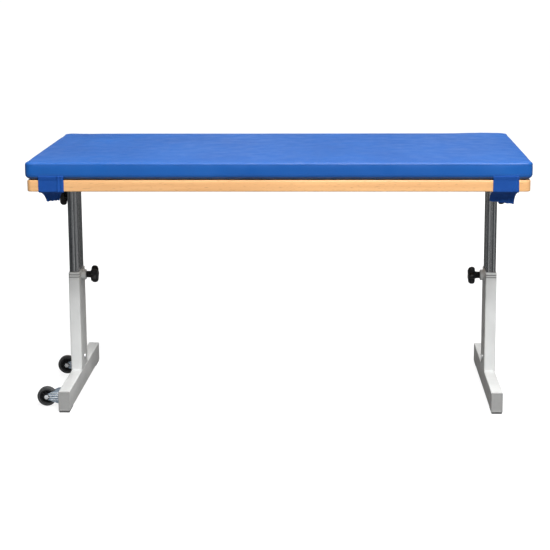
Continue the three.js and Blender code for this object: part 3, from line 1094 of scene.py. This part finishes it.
CROWN = 4 * MM
WAVES = 1.3 * MM
HUMP = 2.6 * MM  # at the right end of the back


def shape_cover(p, half):
    """Crown, soft waves and the two sewn seams that run round the cushion."""
    x, y, z = p
    up = max(0.0, z / half.z)
    inside = max(0.0, 1 - (x / half.x) ** 4) * max(0.0, 1 - (y / half.y) ** 4)
    z += up * inside * CROWN
    waves = noise.noise(Vector((x * 5.5, y * 5.5, 3.7)))
    waves += 0.5 * noise.noise(Vector((x * 14, y * 14, 9.1)))
    z += up * inside * waves * WAVES
    hump = math.exp(-((x - 0.655) / 0.06) ** 2 - ((y - 0.32) / 0.14) ** 2)
    z += up * hump * HUMP
    wide = Vector((x, y, 0))
    side = max(abs(x) - half.x + 12 * MM, abs(y) - half.y + 12 * MM)
    if side > 0:
        out = Vector((x / half.x ** 2, y / half.y ** 2, 0)).normalized()
        if abs(x) < half.x - CUSHION_CORNER:
            out = Vector((0, math.copysign(1, y), 0))
        elif abs(y) < half.y - CUSHION_CORNER:
            out = Vector((math.copysign(1, x), 0, 0))
        pucker = noise.noise(Vector((x * 60, y * 60, 1.3)))
        for seam in (half.z - SEAM_DROP, -half.z + SEAM_RISE):
            near = math.exp(-((p.z - seam) / (1.5 * MM)) ** 2)
            wide -= out * near * (1.3 + 0.35 * pucker) * MM
        sag = 1 - (p.z / half.z) ** 2
        wide += out * sag * noise.noise(Vector((x * 9, y * 9, 5.0))) * 1.0 * MM
    return Vector((wide.x, wide.y, z))


STITCH = {"pitch": 8 * MM, "length": 5.5 * MM, "radius": 0.55 * MM, "from_seam": 3.2 * MM}


def stitch(place, normal, along):
    """One raised thread whose two ends dip into the cover."""
    across = normal.cross(along)
    rings = []
    for i in range(5):
        t = i / 4 - 0.5
        lift = STITCH["radius"] * (0.9 - 6 * t * t)
        centre = place + along * t * STITCH["length"] + normal * lift
        r = STITCH["radius"] * (1 - 1.4 * t * t)
        rings.append([centre + across * u + normal * v for u, v in circle(r, 6)])
    return loft(rings)


def make_stitches(cushion, c, s):
    """A row of stitches beside each of the cushion's two seams."""
    skin = BVHTree.FromObject(cushion, bpy.context.evaluated_depsgraph_get())
    outline = [Vector(p) for p in rounded(s.x, s.y, CUSHION_CORNER, 8)]
    spots = []
    left_over = 0.0
    for a, b in zip(outline, outline[1:] + outline[:1]):
        length = (b - a).length
        at = left_over
        while at < length:
            spots.append((a + (b - a) * at / length, (b - a) / length))
            at += STITCH["pitch"]
        left_over = at - length
    upper = c.z + s.z / 2 - SEAM_DROP - STITCH["from_seam"]
    lower = c.z - s.z / 2 + SEAM_RISE + STITCH["from_seam"]
    shapes = []
    for z in (upper, lower):
        for spot, way in spots:
            place, normal, _, _ = skin.find_nearest(Vector((c.x + spot.x, c.y + spot.y, z)))
            shapes.append(stitch(place, normal, way.to_3d()))
    piece("cushion_stitches", merged(*shapes), HERE, THREAD, "table_top")


def make_cushion():
    node = "cushion"
    c, s = middle(node), size(node)
    shrink = Vector((2.5 * MM, 2.5 * MM, 1.6 * MM))
    half = s / 2 - shrink
    points, faces = cushion_grid(half)
    points = [rounded_box_point(p, half) for p in points]
    cushion = piece("cushion_cover", (points, faces), HERE, VINYL, "table_top", node, 180)
    swell(cushion, half, 3.5 * MM)
    reach = [max(v.co[axis] for v in cushion.data.vertices) for axis in range(3)]
    full = (s.x / 2 + 1 * MM, s.y / 2 + 1 * MM, half.z + 2 * shrink.z)
    for v in cushion.data.vertices:
        v.co = shape_cover(v.co, half)
        v.co.x *= full[0] / reach[0]
        v.co.y *= full[1] / reach[1]
        if v.co.z > 0:
            v.co.z *= full[2] / reach[2]
        v.co += c - Vector((0, 0, shrink.z))
    floor = low(node).z
    for v in cushion.data.vertices:
        v.co.z = max(v.co.z, floor)
    smooth = cushion.modifiers.new("smooth", "SUBSURF")
    smooth.levels = smooth.render_levels = 1
    make_stitches(cushion, c, s)
    # painted shade: a dark sheet under the cushion's undercut edge darkens the gap above the board
    base = block(s.x - 26 * MM, s.y - 26 * MM, 12 * MM, low(node).z, low(node).z + 3.2 * MM, "Z", 1 * MM)
    piece("cushion_gap_shade_sheet", base, (c.x, c.y, 0), GAP_SHADE_SHEET, "table_top")


# ---- straps

STRAP_ROUTE = [  # (out from the board's edge, above the board's underside), in millimetres
    (2.2, 48.5), (3.6, 45.0), (2.6, 37.0), (1.8, 31.0), (1.8, 6.0), (1.4, 0.6), (-1.2, -1.6),
    (-6.5, -2.8), (-14.0, -6.5), (-22.0, -13.0), (-29.0, -22.0), (-34.0, -32.5),
]


def smooth_line(points, steps):
    """A Catmull-Rom line through the points."""
    out = []
    padded = [points[0]] + list(points) + [points[-1]]
    for i in range(1, len(padded) - 2):
        a, b, c, d = (Vector(padded[i + k]) for k in (-1, 0, 1, 2))
        for k in range(steps):
            t = k / steps
            out.append(
                0.5 * ((2 * b) + (c - a) * t + (2 * a - 5 * b + 4 * c - d) * t * t
                       + (3 * b - a - 3 * c + d) * t ** 3)
            )
    out.append(Vector(points[-1]))
    return out


def make_strap(side, end, gather, slant, aside, longer, creases):
    """A woven strap, sewn into the cushion's lower seam, over the board's edge, its end hanging.

    Each crease is where it starts and ends across the strap (-0.5 to 0.5) and its height in mm.
    The free end is longer by so many millimetres.
    """
    node = f"{side}_strap_{end}"
    facing = ENDS[end]
    width = size(node).x
    centre_x = middle(node).x
    edge = high("board").y if facing > 0 else low("board").y
    underside = low("board").z
    line = smooth_line(STRAP_ROUTE[:-1] + [(STRAP_ROUTE[-1][0], STRAP_ROUTE[-1][1] - longer)], 7)
    lengths = [0.0]
    for a, b in zip(line, line[1:]):
        lengths.append(lengths[-1] + (b - a).length * MM)
    hang_from = next(i for i, p in enumerate(line) if p.y < -2.4)
    across = 40
    points, uvs = [], []
    for i, spot in enumerate(line):
        hang = max(0.0, (i - hang_from) / (len(line) - 1 - hang_from))
        down = min(1.0, max(0.0, (36 - spot.y) / 36))
        for j in range(across + 1):
            t = j / across - 0.5
            x = t * width * (1 - gather * hang ** 0.6) + aside * MM * hang ** 0.5
            fold = gather * hang * 5.5 * math.cos(t * 13.0) + 0.5 * math.sin(t * 17 + i * 0.25)
            drop = slant * hang * t * 12.0 + 0.8 * hang * math.sin(t * 21)
            out = spot.x + fold * (0.25 + hang) * (hang > 0)
            for start, finish, height in creases:
                at = start + (finish - start) * down
                out += height * math.exp(-((t - at) / 0.035) ** 2) * (1 - 0.5 * hang)
            x_slope = 0.012 * slant * down * t * width
            points.append(Vector((
                centre_x + x - x_slope, edge + facing * out * MM, underside + (spot.y + drop) * MM
            )))
            uvs.append((t * width, lengths[i]))
    faces = []
    for i in range(len(line) - 1):
        for j in range(across):
            a = i * (across + 1) + j
            faces.append((a, a + 1, a + across + 2, a + across + 1))
    strap = piece(f"{side}_{end}_strap", (points, faces), HERE, WEBBING, "table_top", node, 180)
    layer = strap.data.uv_layers.new(name="weave")
    for loop in strap.data.loops:
        layer.data[loop.index].uv = uvs[loop.vertex_index]
    thick = strap.modifiers.new("thickness", "SOLIDIFY")
    thick.thickness = 1.5 * MM
    thick.offset = 0
    soft = strap.modifiers.new("soft", "SUBSURF")
    soft.levels = soft.render_levels = 1


# ---- all together

def finish_cad_node(name, material, width=0.4 * MM, angle=50):
    """Gives a CAD node that stays on show its finish and slightly broken edges."""
    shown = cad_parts[name]
    shown.data.materials.clear()
    shown.data.materials.append(material)
    bevel = shown.modifiers.new("edges", "BEVEL")
    bevel.width = width
    bevel.segments = 2
    bevel.limit_method = "ANGLE"
    bevel.angle_limit = math.radians(angle)
    bevel.harden_normals = True


def make_leg(side, sign):
    make_foot(side)
    make_outer_column(side)
    make_inner_column(side)
    make_boss(f"{side}_height_boss", f"{side}_base", -sign, 4.6 * MM)
    make_boss(f"{side}_top_boss", f"{side}_column", sign, 4.6 * MM)
    make_knob(side, "height", f"{side}_height_knob", -sign, 16 * MM)
    make_knob(side, "top", f"{side}_top_knob", sign, 2.5 * MM)
    make_base_screw(side, -sign)
    make_top_mount(side)
    for name in (f"{side}_height_knob_stud", f"{side}_top_knob_stud"):
        finish_cad_node(name, ZINC)
    finish_cad_node(f"{side}_glide", BLACK_PLASTIC)


bpy.context.scene.view_settings.view_transform = "Standard"
make_camera()
make_light()
make_floor()
for side, sign in SIDES.items():
    make_leg(side, sign)
for which in ENDS:
    make_wheel(which)
make_board()
make_cushion()
make_strap("left", "front", 0.5, 0.3, -1, 0, [(0.28, 0.27, 2.6), (0.42, 0.44, 1.6)])
make_strap("right", "front", 0.06, -0.8, -9, 5, [(0.40, 0.26, 1.5)])
make_strap("left", "rear", 0.15, 0.3, 4, 2, [(-0.3, -0.25, 1.0)])
make_strap("right", "rear", 0.3, -0.3, 3, 0, [(0.2, 0.3, 1.0)])
